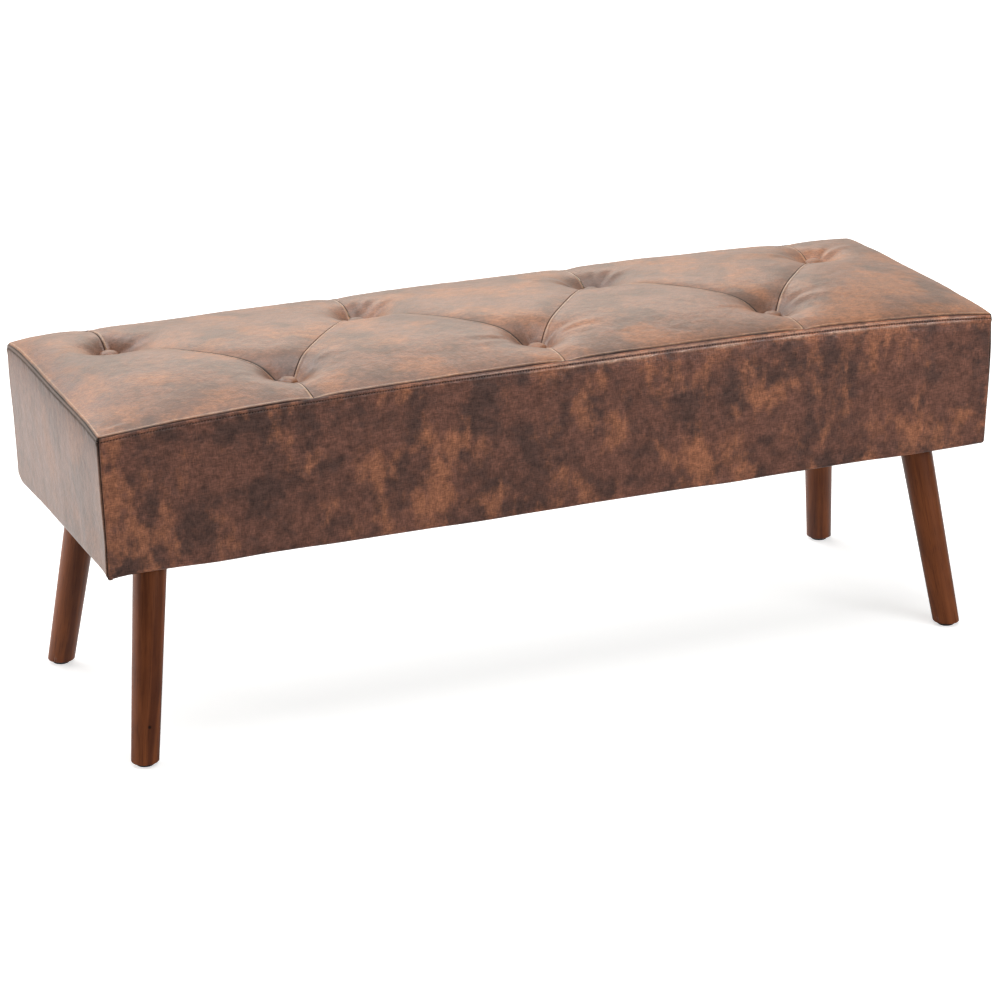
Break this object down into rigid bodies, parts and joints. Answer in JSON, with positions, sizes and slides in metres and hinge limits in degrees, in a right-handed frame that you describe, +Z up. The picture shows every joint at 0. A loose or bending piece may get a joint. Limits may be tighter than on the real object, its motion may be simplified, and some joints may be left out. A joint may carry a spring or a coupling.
{
  "type": "bed bench",
  "caption": "Long upholstered box bench for the end of a bed, with a crowned button-tufted seat on splayed tapered wooden legs.",
  "frame": {"origin": "on the floor, under the middle of the seat", "axes": "+X along the length, -Y the front (the long side with the shorter row of buttons), +Z up"},
  "size_m": [1.17, 0.384, 0.45],
  "materials": {
    "cover_leather": "satin",
    "leg_wood": "satin",
    "frame_timber": "matte",
    "plywood": "matte",
    "foam": "matte",
    "wadding": "matte",
    "dust_cloth": "matte",
    "twine": "matte",
    "steel": "satin",
    "zinc_steel": "satin",
    "glide_plastic": "satin"
  },
  "bodies": {
    "root": {"anchor_washers": "steel", "button_backs": "steel", "button_front_1": "cover_leather", "button_front_2": "cover_leather", "button_front_3": "cover_leather", "button_rear_1": "cover_leather", "button_rear_2": "cover_leather", "button_rear_3": "cover_leather", "button_rear_4": "cover_leather", "corner_board_front_left": "plywood", "corner_board_front_right": "plywood", "corner_board_rear_left": "plywood", "corner_board_rear_right": "plywood", "cross_brace_left": "frame_timber", "cross_brace_right": "frame_timber", "deck_screws": "steel", "dust_cover": "dust_cloth", "dust_cover_staples": "steel", "foam_core": "foam", "frame_front_rail": "frame_timber", "frame_left_rail": "frame_timber", "frame_rear_rail": "frame_timber", "frame_right_rail": "frame_timber", "frame_screws": "steel", "glide_front_left": "glide_plastic", "glide_front_right": "glide_plastic", "glide_nails": "steel", "glide_rear_left": "glide_plastic", "glide_rear_right": "glide_plastic", "hanger_bolts": "steel", "hem_staples": "steel", "leg_front_left": "leg_wood", "leg_front_right": "leg_wood", "leg_plate_front_left": "zinc_steel", "leg_plate_front_right": "zinc_steel", "leg_plate_rear_left": "zinc_steel", "leg_plate_rear_right": "zinc_steel", "leg_plate_screws": "steel", "leg_rear_left": "leg_wood", "leg_rear_right": "leg_wood", "seat_deck": "plywood", "side_band_front": "cover_leather", "side_band_left": "cover_leather", "side_band_rear": "cover_leather", "side_band_right": "cover_leather", "top_panel_front_1": "cover_leather", "top_panel_front_2": "cover_leather", "top_panel_left_end": "cover_leather", "top_panel_rear_1": "cover_leather", "top_panel_rear_2": "cover_leather", "top_panel_rear_3": "cover_leather", "top_panel_right_end": "cover_leather", "tufting_twines": "twine", "wadding": "wadding"}
  },
  "joints": []
}
